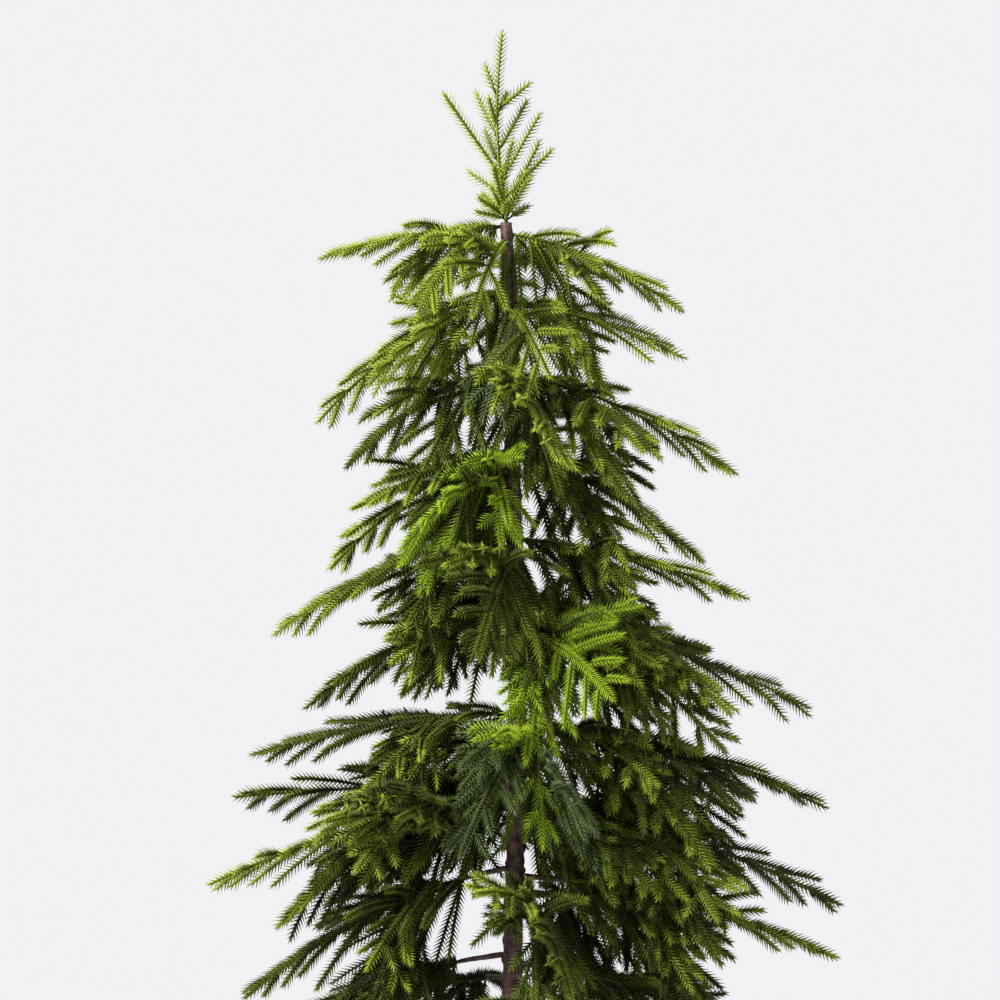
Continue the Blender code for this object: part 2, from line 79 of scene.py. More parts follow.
# Boughs, as in the part: height on the trunk, then name, compass angle, reach and drop of each
WHORLS = (
    (1.814, (("left", 184, 0.285, 0.034), ("right", 356, 0.268, 0.114),
             ("front", 256, 0.205, 0.134), ("back", 84, 0.250, 0.110))),
    (1.712, (("left", 176, 0.290, 0.178), ("right", 6, 0.272, 0.080),
             ("front", 284, 0.215, 0.120), ("back", 116, 0.250, 0.110))),
    (1.602, (("left", 191, 0.255, 0.138), ("right", 357, 0.343, 0.145),
             ("front", 285, 0.265, 0.130), ("back", 72, 0.280, 0.130))),
    (1.477, (("left", 165, 0.295, 0.165), ("right", 14, 0.305, 0.152),
             ("front", 234, 0.285, 0.130), ("back", 120, 0.290, 0.120))),
    (1.357, (("left", 187, 0.365, 0.140), ("right", 357, 0.353, 0.085),
             ("front", 262, 0.325, 0.160), ("back", 128, 0.320, 0.140))),
    (1.237, (("left", 172, 0.330, 0.135), ("right", 4, 0.452, 0.133),
             ("front", 296, 0.345, 0.100), ("back", 42, 0.420, 0.060))),
    (1.085, (("left", 183, 0.403, 0.046), ("right", 2, 0.470, 0.128),
             ("front", 284, 0.370, 0.120), ("back", 122, 0.400, 0.120))),
    (0.972, (("left", 170, 0.446, 0.004), ("front_left", 207, 0.492, 0.105),
             ("right", 352, 0.490, 0.150), ("back", 66, 0.430, 0.110))),
    (0.852, (("left", 186, 0.410, 0.172), ("right", 4, 0.490, 0.120),
             ("front", 282, 0.420, 0.120), ("back", 52, 0.430, 0.145))),
    (0.722, (("left", 168, 0.450, 0.150), ("right", 350, 0.480, 0.150),
             ("front", 284, 0.440, 0.120), ("back", 118, 0.450, 0.130))),
    (0.592, (("left", 192, 0.460, 0.140), ("right", 12, 0.470, 0.140),
             ("front", 248, 0.450, 0.140), ("back", 62, 0.440, 0.140))),
)
BARE_FROM_WHORL = 9
STAGGER = 0.012
RISE_SHARE = 0.02
STEADY_DROP = 0.45
SWAY_SHARE = 0.05
BOUGH_ROOT_RADIUS = 0.0048
BOUGH_TIP_RADIUS = 0.0036
SQUARE_ROOT = 0.004
BARE_SHARE = 0.15

# Sprays, as in the part
ROOT_CLEAR = 0.016
UNIT_LENGTH = 0.27
UNIT_SHARE = 0.72
TWIG_FIRST = 0.070
TWIG_PITCH = 0.050
TWIG_OFFSET = 0.007
TWIG_ANGLE = 40
TWIG_SAG = 0.14
TWIG_SHORTEST = 0.062
TWIG_GROWTH = 0.50
TWIG_LONGEST = 0.130
TWIG_TILT = 0.22
TWIG_TRIES = (1.0, 0.72, 0.5)
LATERAL_GAP = 0.022
LATERAL_PITCH = 0.0280
SIDE_ROLL = 10
FACE_ROLL = 55
LATERAL_TRIES = 5
LATERAL_SHRINK = 0.88
LATERAL_TURNS = ((-1, 14), (1, 14), (-1, 62), (1, 24), (-1, 24), (1, 62))
LATERAL_ANGLE = 47
LATERAL_SAG = 0.24
LATERAL_LONGEST = 0.255
LATERAL_SHORTEST = 0.150
LATERAL_ROLL = 22
OPEN_BELOW = (6, 8)
OPEN_TURNS = ((-1, 6), (1, 6), (-1, 20), (1, 12), (-1, 12), (1, 20))
OPEN_SAG = 0.12
SPRAY_TILT = 40
LEADER_LEAN = -0.011
LEADER_TIP_LEAN = -0.006
LEADER_TILT = 0.75
LEADER_ROWS = (
    (0.105, -1, 23, 0.060), (0.123, 1, 51, 0.070), (0.165, -1, 24, 0.084), (0.186, 1, 37, 0.102),
    (0.222, -1, 31, 0.156), (0.230, 1, 37, 0.122), (0.258, 1, 52, 0.112), (0.252, -1, 48, 0.070),
)
LEADER_EXTRA = (
    (0.284, 4, 31, 0.136), (0.286, 165, 44, 0.050), (0.276, 262, 40, 0.096), (0.268, 84, 42, 0.100),
    (0.287, 322, 46, 0.088), (0.284, 212, 52, 0.062), (0.281, 128, 50, 0.072), (0.240, 300, 36, 0.090),
    (0.205, 110, 38, 0.085), (0.150, 250, 36, 0.062), (0.135, 60, 36, 0.060), (0.288, 280, 58, 0.056),
    (0.289, 20, 64, 0.052), (0.287, 190, 68, 0.054), (0.289, 240, 30, 0.070), (0.282, 340, 34, 0.084),
)
FOUND_WITHIN = 0.0005

# Finer growth that the part's solids stand for
SHORT_TWIG = 0.55
FILL_TURNS = 3
SPARSE_TO_WHORL = 3
SPARSE_TURNS = 1
FILL_LENGTH = 0.72
FILL_TWIG = 0.85
TUFT_STARTS = (0.005, 0.026, 0.050, 0.078, 0.104)
TUFT_SPREAD = 5
TUFT_LENGTH = 0.118
ROOT_DEPTH = 0.004
STEM_RADIUS = 0.0030
LATERAL_RADIUS = 0.0025
TWIG_RADIUS = 0.0020
TIP_RADIUS = 0.0012
NEEDLE_LENGTH = 0.0170
TIP_OVERHANG = 0.62
TIP_SHARE = 0.30
SPRAY_BARE = 0.002
TWIG_BARE = 0.006
TUFT_BARE = 0.004
NEEDLE_RADIUS = 0.0020
NEEDLE_PITCH = 0.0063
NEEDLE_ANGLE = 45
NEEDLE_TIP_ANGLE = 20
NEEDLE_ROWS = ((4, 0.0), (176, 0.5), (82, 0.25), (-96, 0.75))
TIP_FADE = 0.014
PIECE_TRIANGLES = 190000


def jitter(name, spread):
    """A steady small departure, from -spread to spread, that belongs to this name."""
    return random.Random(name).uniform(-spread, spread)


def wall_radius(height):
    """The outside of the pot's tapered wall at this height."""
    return POT_FOOT_RADIUS + (POT_RIM_RADIUS - POT_FOOT_RADIUS) * height / POT_HEIGHT


def trunk_middle(height):
    """The trunk's centre line."""
    wave = math.sin(math.pi * (height - BOW_LEVEL) / BOW_HALF_WAVE)
    foot_wave = math.sin(math.pi * (TRUNK_FOOT - BOW_LEVEL) / BOW_HALF_WAVE)
    bend = BOW * (wave - foot_wave)
    return Vector((bend, -0.4 * bend, height))


def trunk_radius(height):
    """Taper from foot to top, with a short root flare."""
    share = (height - TRUNK_FOOT) / (TRUNK_TOP - TRUNK_FOOT)
    taper = TRUNK_FOOT_RADIUS + (TRUNK_TOP_RADIUS - TRUNK_FOOT_RADIUS) * share
    return taper + FLARE * max(0.0, 1.0 - (height - TRUNK_FOOT) / FLARE_HEIGHT) ** 2


class Bough:
    """One bough's line: out of the trunk, up a little, then over and down to its tip."""

    def __init__(self, whorl, order, height, side, compass, reach, drop):
        self.name = f"{whorl:02d}_{side}"
        self.height = height + STAGGER * (1.5 - order)
        turn = math.radians(compass)
        self.out = Vector((math.cos(turn), math.sin(turn), 0.0))
        self.across = Vector((-self.out.y, self.out.x, 0.0))
        self.reach = reach
        self.drop = drop + STAGGER * (1.5 - order)
        self.roll = math.radians(SIDE_ROLL + (FACE_ROLL - SIDE_ROLL) * abs(self.out.y)) * (-1) ** whorl
        self.sway = jitter(self.name, SWAY_SHARE) * reach
        self.middle = trunk_middle(self.height)
        self.skin = trunk_radius(self.height) + SEAT_GAP

    def at(self, share):
        """The point at this share of the reach. Share 0 is the trunk's skin."""
        run = self.skin + (self.reach - self.skin) * share
        lift = 2.0 * RISE_SHARE * self.reach * share * (1.0 - share)
        lift -= self.drop * share * (STEADY_DROP + (1.0 - STEADY_DROP) * share)
        return self.middle + self.out * run + self.across * (self.sway * share * share) + Vector((0, 0, lift))

    def path(self, first, last, steps):
        """Points from one share of the reach to another, square to the trunk where they leave it."""
        points = [self.at(first + (last - first) * step / steps) for step in range(steps + 1)]
        if first == 0.0:
            points.insert(1, points[0] + self.out * SQUARE_ROOT)
        return points


def square_to(vector, way):
    """The part of a vector that lies square to this direction, at length one."""
    return (vector - way * vector.dot(way)).normalized()


def leaning(way, side, angle):
    """The direction that leaves this way by an angle in degrees, towards one side."""
    turn = math.radians(angle)
    return way * math.cos(turn) + square_to(side, way) * math.sin(turn)


def sagging(start, way, length, sag, steps):
    """Points of a twig that sets out one way and sinks under its own weight."""
    shares = [step / steps for step in range(steps + 1)]
    return [start + way * (length * s) - Vector((0, 0, sag * length * s * s)) for s in shares]


def line_length(points):
    """The whole length of the line."""
    return sum((head - tail).length for tail, head in zip(points, points[1:]))


def back_from_tip(points, distance):
    """The point at this distance back from the line's end, and the line's heading there."""
    for tail, head in zip(reversed(points[:-1]), reversed(points[1:])):
        stretch = (head - tail).length
        way = (head - tail) / stretch
        if distance <= stretch:
            return head - way * distance, way
        distance -= stretch
    return tail, way


def twig_rows(name, length):
    """Side twigs in near pairs down a spray: distance from its tip, side, angle and length."""
    rows = []
    distance = TWIG_FIRST
    while distance < length - ROOT_CLEAR * 1.2:
        for side in (-1, 1):
            key = f"{name} {round(distance * 1000)} {side}"
            reach = min(TWIG_LONGEST, TWIG_SHORTEST + TWIG_GROWTH * (distance - TWIG_FIRST))
            reach *= 1.0 + jitter(key + " length", 0.12)
            rows.append((distance + side * TWIG_OFFSET, side, TWIG_ANGLE + jitter(key + " angle", 7), reach))
        distance += TWIG_PITCH
    return rows


class Spray:
    """One spray: its line, the side that it spreads to, and its side twigs."""

    def __init__(self, name, points, across, rows, sag=TWIG_SAG, tilt=TWIG_TILT):
        self.name = name
        self.points = points
        self.across = across
        self.rows = rows
        self.sag = sag
        self.tilt = tilt
        self.length = line_length(points)

    def twig(self, row, share=1.0):
        """The line of one side twig, at this share of its length, and its tip."""
        distance, side, angle, reach = row
        start, way = back_from_tip(self.points, distance)
        tilt = jitter(f"{self.name} {round(distance * 1000)} {side} tilt", self.tilt)
        heading = leaning(way, self.across * side + way.cross(self.across) * tilt, angle)
        return sagging(start, heading, reach * share, self.sag, 4)


class NodeCorners:
    """The corners of one foliage node of the frame, which tell how far each of its sprays grew."""

    def __init__(self, node):
        places = [corner.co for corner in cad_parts[node].data.vertices]
        self.tree = KDTree(len(places))
        for number, place in enumerate(places):
            self.tree.insert(place, number)
        self.tree.balance()
        self.low, self.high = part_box(node)

    def has(self, place):
        """True if the node has a corner here."""
        return self.tree.find(place)[2] < FOUND_WITHIN

    def holds(self, place):
        """True if the place is inside the node's box."""
        return all(self.low[axis] <= place[axis] <= self.high[axis] for axis in range(3))


class Mass:
    """The foliage on one stem: its end spray, the side sprays further in, and fillers between them."""

    def __init__(self, node, points, across, rows, end_length, sag=TWIG_SAG, tilt=TWIG_TILT):
        self.node = node
        self.corners = NodeCorners(node)
        self.stem = Spray(node, points, across, rows, sag, tilt)
        self.across = across
        self.end_length = end_length
        self.sprays = [self.stem]
        self.fillers = []
        self.tufts = []
        self.turns = LATERAL_TURNS
        self.lateral_sag = LATERAL_SAG
        self.fill_turns = FILL_TURNS

    def grow_laterals(self):
        """The side sprays that the part has, and shorter ones where it has none."""
        distance = self.end_length + LATERAL_GAP
        number = 0
        while distance < self.stem.length - ROOT_CLEAR * 1.5:
            start, way = back_from_tip(self.stem.points, distance)
            tries = [self.lateral(number, start, way, distance, attempt) for attempt in range(LATERAL_TRIES)]
            self.sprays += [spray for spray in tries if self.corners.has(spray.points[-1])][:1]
            for turn in range(self.fill_turns):
                spray = self.lateral(number, start, way, distance, LATERAL_TRIES + turn, FILL_LENGTH)
                if self.corners.holds(spray.points[-1]):
                    self.fillers.append(spray)
            number += 1
            distance += LATERAL_PITCH

    def lateral(self, number, start, way, distance, attempt, share=None):
        """One side spray. Each further attempt is shorter and turned another way round the stem."""
        name = f"{self.node} lateral {number} {attempt}"
        side, dip = self.turns[(number + attempt * 2) % len(self.turns)]
        roll = math.radians(jitter(name + " roll", LATERAL_ROLL) - dip)
        spread = self.across * (side * math.cos(roll)) + Vector((0, 0, math.sin(roll)))
        heading = leaning(way, spread, LATERAL_ANGLE + jitter(name + " angle", 9))
        length = max(LATERAL_SHORTEST, min(LATERAL_LONGEST, 0.72 * distance))
        length *= (1.0 + jitter(name + " length", 0.10)) * (share or LATERAL_SHRINK ** attempt)
        points = sagging(start, heading, length, self.lateral_sag, 4)
        flat = square_to(heading.cross(Vector((0, 0, 1))), heading)
        tilt = math.radians(jitter(name + " tilt", SPRAY_TILT))
        across = flat * math.cos(tilt) + square_to(Vector((0, 0, 1)), heading) * math.sin(tilt)
        return Spray(name, points, across, twig_rows(name, length))

    def grow_tufts(self):
        """Single twigs close to the trunk, which hide it from every side."""
        for start_at in TUFT_STARTS:
            start, way = back_from_tip(self.stem.points, self.stem.length - start_at)
            for number in range(TUFT_SPREAD):
                name = f"{self.node} tuft {start_at} {number}"
                turn = math.tau * (number + 0.5 * jitter(name, 1.0)) / TUFT_SPREAD + start_at * 60.0
                side = self.across * math.cos(turn) + square_to(Vector((0, 0, 1)), way) * math.sin(turn)
                heading = leaning(way, side, 60 + jitter(name + " angle", 16))
                length = TUFT_LENGTH * (1.0 + jitter(name + " length", 0.25))
                points = sagging(start, heading, length, 0.20, 4)
                if self.corners.holds(points[-1]):
                    self.tufts.append((name, points))

    def twig_share(self, spray, row):
        """How much of this side twig grew in the part, or a short one's share where none did."""
        for share in TWIG_TRIES:
            if self.corners.has(spray.twig(row, share)[-1]):
                return share
        return SHORT_TWIG


def build_masses():
    """The leader and every bough's foliage, from the top down."""
    foot = trunk_middle(TRUNK_TOP) + Vector((0, 0, SEAT_GAP))
    length = TREE_HEIGHT - foot.z
    points = []
    for step in range(9):
        share = step / 8
        lean = LEADER_LEAN * math.sin(math.pi * share) + LEADER_TIP_LEAN * share
        points.append(foot + Vector((lean, 0, length * share)))
    leader = Mass("foliage_leader", points, Vector((1, 0, 0)), LEADER_ROWS, length, 0.0, LEADER_TILT)
    for distance, compass, angle, reach in LEADER_EXTRA:
        start, way = back_from_tip(points, distance)
        turn = math.radians(compass)
        heading = leaning(way, Vector((math.cos(turn), math.sin(turn), 0.0)), angle)
        leader.tufts.append((f"leader {compass} {distance}", sagging(start, heading, reach, 0.04, 4)))
    masses = [leader]
    for whorl, (height, rows) in enumerate(WHORLS, start=1):
        for order, row in enumerate(rows):
            bough = Bough(whorl, order, height, *row)
            begin = BARE_SHARE + SEAT_GAP / bough.reach if whorl >= BARE_FROM_WHORL else 0.0
            points = bough.path(begin, 1.0, 10)
            length = line_length(points)
            end_length = min(UNIT_LENGTH, UNIT_SHARE * length)
            node = "foliage_" + bough.name
            across = bough.across * math.cos(bough.roll) + Vector((0, 0, math.sin(bough.roll)))
            mass = Mass(node, points, across, twig_rows(node, end_length), end_length)
            if whorl in OPEN_BELOW:
                mass.turns = OPEN_TURNS
                mass.lateral_sag = OPEN_SAG
            if whorl <= SPARSE_TO_WHORL:
                mass.fill_turns = SPARSE_TURNS
            mass.grow_laterals()
            mass.grow_tufts()
            masses.append(mass)
    return masses


# Foliage meshes from arrays

def along(points, distances):
    """Places and headings at these distances down a line."""
    line = np.array([tuple(point) for point in points])
    steps = np.linalg.norm(np.diff(line, axis=0), axis=1)
    reach = np.concatenate(([0.0], np.cumsum(steps)))
    slopes = np.gradient(line, reach, axis=0)
    places = np.column_stack([np.interp(distances, reach, line[:, axis]) for axis in range(3)])
    ways = np.column_stack([np.interp(distances, reach, slopes[:, axis]) for axis in range(3)])
    return places, ways / np.linalg.norm(ways, axis=1)[:, None], reach[-1]


def crossed(first, second):
    """Cross products, row by row, at length one."""
    made = np.cross(first, second)
    return made / np.maximum(np.linalg.norm(made, axis=1), 1e-9)[:, None]


class Bed:
    """All needles of one kind, kept as arrays until they are joined into meshes."""

    def __init__(self):
        self.groups = []

    def add(self, node, feet, ways, flats, lengths, radii):
        """More needles: their feet, headings, a direction across each, lengths and radii."""
        self.groups.append((node, feet, ways, flats, lengths, radii))

    def pieces(self):
        """Groups shared out so that each piece stays under its count of triangles."""
        shared = [[]]
        count = 0
        for group in self.groups:
            faces = 4 * len(group[1])
            if count + faces > PIECE_TRIANGLES:
                shared.append([])
                count = 0
            shared[-1].append(group)
            count += faces
        return [groups for groups in shared if groups]


def needle_mesh(name, groups):
    """One mesh of three-sided needles, each a foot of three corners and a point."""
    joined = [np.concatenate([group[part] for group in groups]) for part in range(1, 6)]
    feet, ways, flats, lengths, radii = joined
    ups = crossed(ways, flats)
    corners = []
    for turn in (math.pi / 2, math.pi * 7 / 6, math.pi * 11 / 6):
        corners.append(feet + (flats * math.cos(turn) + ups * math.sin(turn)) * radii[:, None])
    corners.append(feet + ways * lengths[:, None])
    places = np.stack(corners, axis=1).reshape(-1, 3)
    pattern = np.array(((0, 1, 3), (1, 2, 3), (2, 0, 3), (2, 1, 0)))
    starts = 4 * np.arange(len(feet))
    faces = (starts[:, None, None] + pattern[None]).reshape(-1, 3)
    return joined_mesh(name, places, faces)


def joined_mesh(name, places, faces):
    """A mesh of triangles from arrays of places and faces."""
    mesh = bpy.data.meshes.new(name)
    mesh.vertices.add(len(places))
    mesh.vertices.foreach_set("co", places.astype(np.float32).ravel())
    mesh.loops.add(faces.size)
    mesh.loops.foreach_set("vertex_index", faces.astype(np.int32).ravel())
    mesh.polygons.add(len(faces))
    mesh.polygons.foreach_set("loop_start", np.arange(0, faces.size, 3, dtype=np.int32))
    mesh.update(calc_edges=True)
    mesh.validate()
    return mesh


class Crown:
    """Dresses every mass with wood and needles."""

    def __init__(self):
        self.beds = {}
        self.wood = []

    def bed(self, kind):
        """The needles of one kind."""
        if kind not in self.beds:
            self.beds[kind] = Bed()
        return self.beds[kind]

    def limb(self, node, points, first_radius, last_radius, sides, steps):
        """Keeps the tube of one stem or twig."""
        total = line_length(points)
        places, ways, _ = along(points, np.linspace(0.0, total, steps + 1))
        across = crossed(ways, np.tile((0.13, 0.37, 0.92), (len(ways), 1)))
        up = crossed(ways, across)
        radii = np.linspace(first_radius, last_radius, steps + 1)
        turns = np.linspace(0.0, math.tau, sides, endpoint=False)
        rings = places[:, None] + radii[:, None, None] * (
            across[:, None] * np.cos(turns)[None, :, None] + up[:, None] * np.sin(turns)[None, :, None])
        corners = rings.reshape(-1, 3)
        faces = []
        for step in range(steps):
            for side in range(sides):
                a = step * sides + side
                b = step * sides + (side + 1) % sides
                faces += [(a, b, b + sides), (a, b + sides, a + sides)]
        last = steps * sides
        for side in range(1, sides - 1):
            faces += [(0, side + 1, side), (last, last + side, last + side + 1)]
        self.wood.append((node, corners, np.array(faces)))

    def dress(self, node, points, across, kind, tip_kind, first, seed):
        """Needles in rows all down a twig, leaning forward, the last ones closing round its tip."""
        rng = np.random.default_rng(seed)
        total = line_length(points)
        if total - first < NEEDLE_PITCH * 2:
            return
        count = int((total - first) / NEEDLE_PITCH)
        for turn, shift in NEEDLE_ROWS:
            back = (np.arange(count) + shift) * NEEDLE_PITCH
            places, ways, _ = along(points, total - back)
            normal = crossed(ways, np.tile(tuple(across), (count, 1)))
            flat = crossed(normal, ways)
            spin = np.radians(turn + rng.uniform(-5.0, 5.0, count))
            radial = flat * np.cos(spin)[:, None] + normal * np.sin(spin)[:, None]
            closing = np.clip(back / TIP_FADE, 0.0, 1.0)
            lean = NEEDLE_TIP_ANGLE + (NEEDLE_ANGLE - NEEDLE_TIP_ANGLE) * closing
            lean = np.radians(lean + rng.uniform(-3.0, 3.0, count))
            headings = ways * np.cos(lean)[:, None] + radial * np.sin(lean)[:, None]
            lengths = NEEDLE_LENGTH * (0.72 + 0.28 * closing) * rng.uniform(0.94, 1.05, count)
            radii = NEEDLE_RADIUS * rng.uniform(0.9, 1.1, count)
            flats = crossed(ways, radial)
            tips = back < total * TIP_SHARE
            for chosen, use in ((tips, tip_kind), (~tips, kind)):
                if chosen.any():
                    self.bed(use).add(node, places[chosen], headings[chosen], flats[chosen],
                                      lengths[chosen], radii[chosen])

    def grow_spray(self, mass, spray, kind, tip_kind, radius, filler=False):
        """One spray's wood and needles, and those of its side twigs."""
        node = mass.node
        overhang = NEEDLE_LENGTH * TIP_OVERHANG
        line = shortened(spray.points, overhang)
        root = line[0] - (line[1] - line[0]).normalized() * ROOT_DEPTH
        self.limb(node, [root] + line, radius, TIP_RADIUS, 5, 8)
        self.dress(node, [root] + line, spray.across, kind, tip_kind, SPRAY_BARE, seed_of(spray.name))
        for row in spray.rows:
            share = FILL_TWIG if filler else mass.twig_share(spray, row)
            points = shortened(spray.twig(row, share), overhang)
            self.limb(node, points, TWIG_RADIUS, TIP_RADIUS, 3, 3)
            key = f"{spray.name} {row[0]:.4f}"
            self.dress(node, points, spray.across, kind, tip_kind, TWIG_BARE, seed_of(key))

    def grow_tufts(self, mass, kind, tip_kind):
        """The single twigs close to the trunk."""
        for name, points in mass.tufts:
            line = shortened(points, NEEDLE_LENGTH * TIP_OVERHANG)
            self.limb(mass.node, line, TWIG_RADIUS, TIP_RADIUS, 3, 3)
            self.dress(mass.node, line, mass.across, kind, tip_kind, TUFT_BARE, seed_of(name))


def shortened(points, overhang):
    """The line without its last stretch, which the tip's needles reach over."""
    total = line_length(points)
    places, _, _ = along(points, np.linspace(0.0, total - overhang, len(points)))
    return [Vector(place) for place in places]


def seed_of(name):
    """A whole number that belongs to this name."""
    return random.Random(name).randrange(2 ** 31)


# Kinds of needle: whole sprays that stand out by name, then by height and by distance from the trunk, the
# darker kinds deep in the crown and low down being painted shade
LEVEL_FRESH = 1.66
LEVEL_LIGHT = 1.42
LEVEL_DEEP = 1.12
NAMED_KINDS = (
    ("foliage_04_front", "lime"),
    ("foliage_06_front", "lime"),
    ("foliage_07_front lateral 0", "lime"),
    ("foliage_07_front", "dusty"),
    ("foliage_02_front lateral", "dusty"),
)
LIGHTER = {"shade": "deep", "deep": "mid", "mid": "fresh", "fresh": "fresh", "lime": "lime", "dusty": "dusty"}


def tuft_kind(mass):
    """The kind of needle on the twigs close to the trunk, darker further down, which is painted shade."""
    if mass.node == "foliage_leader":
        return "fresh"
    return "mid" if mass.stem.points[0].z > LEVEL_FRESH else "deep"


def spray_kind(mass, spray):
    """The kind of needle on a spray: brighter high up and outside, darker in the heart of the crown and low
    down, which is painted shade.
    """
    for start, kind in NAMED_KINDS:
        if spray.name.startswith(start):
            return kind
    tip = spray.points[-1]
    level = mass.stem.points[0].z
    out = math.hypot(tip.x, tip.y) / math.hypot(*mass.stem.points[-1].xy)
    draw = random.Random(spray.name + " kind").random()
    if mass.node == "foliage_leader" or level > LEVEL_FRESH:
        return "fresh" if draw < 0.7 else "mid"
    if level > LEVEL_LIGHT:
        return "mid" if draw < 0.35 + 0.4 * out else "deep"
    # Painted shade: in the middle and low crown, sprays whose tips stay close to the trunk get the darkest
    # shade kind, and more of them do further down.
    if level > LEVEL_DEEP:
        return "shade" if draw > 0.3 + out else "mid" if draw < 0.5 * out else "deep"
    return "shade" if draw > 0.1 + 0.8 * out else "mid" if draw < 0.4 * out else "deep"


# Materials

def new_material(name, roughness, gloss=0.5):
    """A material with its shader."""
    made = bpy.data.materials.new(name)
    made.use_nodes = True
    shader = made.node_tree.nodes["Principled BSDF"]
    shader.inputs["Roughness"].default_value = roughness
    shader.inputs["Specular IOR Level"].default_value = gloss
    return made, shader


def mottle_group():
    """Soft patches of a lighter and a darker tone, with a fine grain for the bump."""
    group = bpy.data.node_groups.new("Mottle", "ShaderNodeTree")
    face = group.interface
    for label, kind in (("Dark", "NodeSocketColor"), ("Light", "NodeSocketColor"),
                        ("Patch Scale", "NodeSocketFloat"), ("Grain Scale", "NodeSocketFloat")):
        face.new_socket(label, in_out="INPUT", socket_type=kind)
    face.new_socket("Colour", in_out="OUTPUT", socket_type="NodeSocketColor")
    face.new_socket("Height", in_out="OUTPUT", socket_type="NodeSocketFloat")
    nodes, links = group.nodes, group.links
    into, out = nodes.new("NodeGroupInput"), nodes.new("NodeGroupOutput")
    place = nodes.new("ShaderNodeTexCoord")
    patch, grain = nodes.new("ShaderNodeTexNoise"), nodes.new("ShaderNodeTexNoise")
    patch.inputs["Detail"].default_value = 3.0
    grain.inputs["Detail"].default_value = 4.0
    blend = nodes.new("ShaderNodeMath")
    blend.operation = "MULTIPLY_ADD"
    blend.inputs[1].default_value = 0.35
    spread = nodes.new("ShaderNodeMapRange")
    spread.inputs["From Min"].default_value = 0.50
    spread.inputs["From Max"].default_value = 0.85
    mix = nodes.new("ShaderNodeMix")
    mix.data_type = "RGBA"
    links.new(place.outputs["Object"], patch.inputs["Vector"])
    links.new(place.outputs["Object"], grain.inputs["Vector"])
    links.new(into.outputs["Patch Scale"], patch.inputs["Scale"])
    links.new(into.outputs["Grain Scale"], grain.inputs["Scale"])
    links.new(grain.outputs["Fac"], blend.inputs[0])
    links.new(patch.outputs["Fac"], blend.inputs[2])
    links.new(blend.outputs[0], spread.inputs["Value"])
    links.new(spread.outputs["Result"], mix.inputs["Factor"])
    links.new(into.outputs["Dark"], mix.inputs["A"])
    links.new(into.outputs["Light"], mix.inputs["B"])
    links.new(mix.outputs["Result"], out.inputs["Colour"])
    links.new(grain.outputs["Fac"], out.inputs["Height"])
    return group


MOTTLE = mottle_group()


def mottled(name, dark, light, patch_scale, grain_scale, roughness, bump=0.0, gloss=0.5):
    """A material in two close tones, with a fine bump."""
    made, shader = new_material(name, roughness, gloss)
    nodes, links = made.node_tree.nodes, made.node_tree.links
    tone = nodes.new("ShaderNodeGroup")
    tone.node_tree = MOTTLE
    tone.inputs["Dark"].default_value = (*dark, 1.0)
    tone.inputs["Light"].default_value = (*light, 1.0)
    tone.inputs["Patch Scale"].default_value = patch_scale
    tone.inputs["Grain Scale"].default_value = grain_scale
    links.new(tone.outputs["Colour"], shader.inputs["Base Color"])
    if bump:
        relief = nodes.new("ShaderNodeBump")
        relief.inputs["Strength"].default_value = 0.6
        relief.inputs["Distance"].default_value = bump
        links.new(tone.outputs["Height"], relief.inputs["Height"])
        links.new(relief.outputs["Normal"], shader.inputs["Normal"])
    return made


NEEDLE_TONES = {
    # The shade tones are painted shade: a darker copy of the deep green, for sprays inside the crown and low
    # down.
    "shade": ((0.018, 0.027, 0.003), (0.034, 0.048, 0.005)),
    "deep": ((0.040, 0.058, 0.005), (0.075, 0.105, 0.009)),
    "mid": ((0.100, 0.138, 0.010), (0.165, 0.220, 0.017)),
    "fresh": ((0.260, 0.340, 0.028), (0.380, 0.470, 0.045)),
    "lime": ((0.230, 0.350, 0.012), (0.350, 0.490, 0.022)),
    "dusty": ((0.070, 0.098, 0.026), (0.135, 0.180, 0.062)),
}


def add_piece(name, mesh, material, slot, *nodes):
    """A finished piece in the scene, with its finish, its body and the nodes that it stands for."""
    mesh.materials.append(material)
    made = bpy.data.objects.new(name, mesh)
    bpy.context.scene.collection.objects.link(made)
    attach(made, BODY)
    if nodes:
        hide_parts(*nodes)
    return made


def build_foliage(crown):
    """Joined needles and wood."""
    for kind, bed in sorted(crown.beds.items()):
        dark, light = NEEDLE_TONES[kind]
        finish = mottled("needles_" + kind, dark, light, 14.0, 160.0, 0.50, gloss=0.24)
        for number, groups in enumerate(bed.pieces(), start=1):
            name = f"needles_{kind}_{number}"
            nodes = sorted({group[0] for group in groups})
            add_piece(name, needle_mesh(name, groups), finish, "needle_foliage", *nodes)
    wood = mottled("green_wood", (0.030, 0.036, 0.006), (0.070, 0.082, 0.014), 30.0, 400.0, 0.6, gloss=0.28)
    starts = np.cumsum([0] + [len(corners) for _, corners, _ in crown.wood])
    places = np.concatenate([corners for _, corners, _ in crown.wood])
    faces = np.concatenate([faces + start for (_, _, faces), start in zip(crown.wood, starts)])
    nodes = sorted({node for node, _, _ in crown.wood})
    add_piece("twig_wood", joined_mesh("twig_wood", places, faces), wood, "needle_foliage", *nodes)


# Trunk, bare limbs, pot and filling

COLLAR_SIZE = 0.008
BOUGH_FEET = [
    (height + STAGGER * (1.5 - order), math.radians(row[1]))
    for height, rows in WHORLS for order, row in enumerate(rows)
]


def mesh_of(name, bm, smooth=True):
    """The finished mesh of a bmesh, faces outward."""
    bmesh.ops.recalc_face_normals(bm, faces=bm.faces)
    mesh = bpy.data.meshes.new(name)
    bm.to_mesh(mesh)
    bm.free()
    if smooth:
        mesh.shade_smooth()
    return mesh


